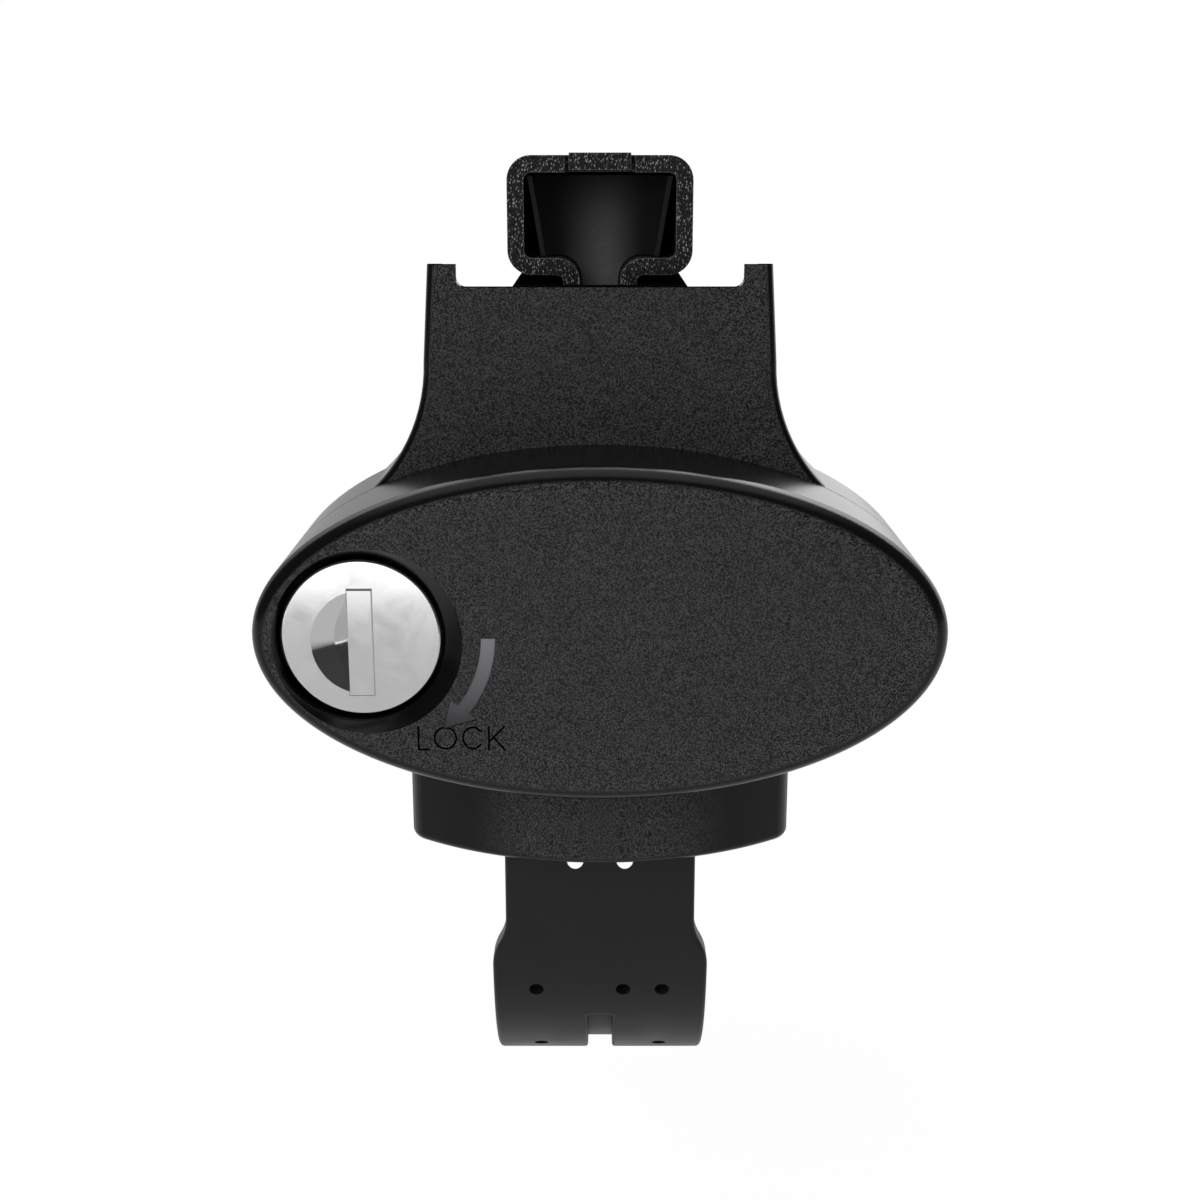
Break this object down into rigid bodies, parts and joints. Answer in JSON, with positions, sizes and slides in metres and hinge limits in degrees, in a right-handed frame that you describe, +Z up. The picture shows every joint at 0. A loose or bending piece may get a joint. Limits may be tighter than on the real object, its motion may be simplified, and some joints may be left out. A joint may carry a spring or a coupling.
{
  "type": "roof bar foot",
  "caption": "Oval-fronted clamp foot that ties a load bar to a raised roof rail: pull-off cover with a quarter-turn latch, sliding bar head, screw-drawn hook coated in rubber",
  "frame": {"origin": "middle of the rail pad's underside, where the foot sits on the roof rail", "axes": "+X along the rail to the viewer's right, +Y inboard away from the cover, +Z up"},
  "size_m": [0.1414, 0.1204, 0.2234],
  "materials": {
    "moulded_black": "fine grained black glass-filled nylon",
    "cover_black": "fine grained black moulding",
    "knob_silver": "turned and milled, satin anodised",
    "coated_steel": "black powder coat",
    "plated_steel": "zinc plated",
    "core_black": "smooth black moulding",
    "black_rubber": "smooth moulded rubber",
    "bush_brass": "turned"
  },
  "bodies": {
    "housing": {"main_housing": "moulded_black", "latch_panel": "moulded_black", "rear_cover": "moulded_black", "rear_screws": "plated_steel", "steel_frame": "plated_steel", "frame_screws": "plated_steel", "rail_pad": "black_rubber"},
    "cover": {"front_cover": "cover_black", "latch_bush": "bush_brass"},
    "latch": {"latch_knob": "knob_silver", "latch_seal": "black_rubber", "latch_washer": "plated_steel", "latch_clip": "plated_steel", "latch_cam": "plated_steel", "cam_screw": "plated_steel"},
    "head": {"bar_head": "coated_steel", "head_core": "core_black", "hanger": "plated_steel", "hanger_pins": "plated_steel", "thrust_washer": "plated_steel"},
    "wheel": {"tension_wheel": "plated_steel"},
    "hook": {"hook_steel": "coated_steel", "hook_rubber": "black_rubber", "tension_bolt": "plated_steel"}
  },
  "joints": [
    {"name": "cover_pull", "type": "slide", "parent": "housing", "child": "cover", "axis": [0, -1, 0], "range_m": [0, 0.05]},
    {"name": "latch_turn", "type": "hinge", "parent": "cover", "child": "latch", "pos_m": [-0.0487, -0.07, 0.0471], "axis": [0, -1, 0], "range_deg": [-90, 0]},
    {"name": "head_lift", "type": "slide", "parent": "housing", "child": "head", "axis": [0, 0, 1], "range_m": [0, 0.004]},
    {"name": "wheel_turn", "type": "hinge", "parent": "head", "child": "wheel", "pos_m": [0, -0.03, 0.0606], "axis": [0, 0, 1], "range_deg": [-6336, 0]},
    {"name": "hook_lift", "type": "slide", "parent": "head", "child": "hook", "axis": [0, 0, 1], "range_m": [0, 0.022]}
  ],
  "couplings": [
    {"joint": "hook_lift", "follows": "wheel_turn", "m_per_rad": -0.00019894}
  ]
}
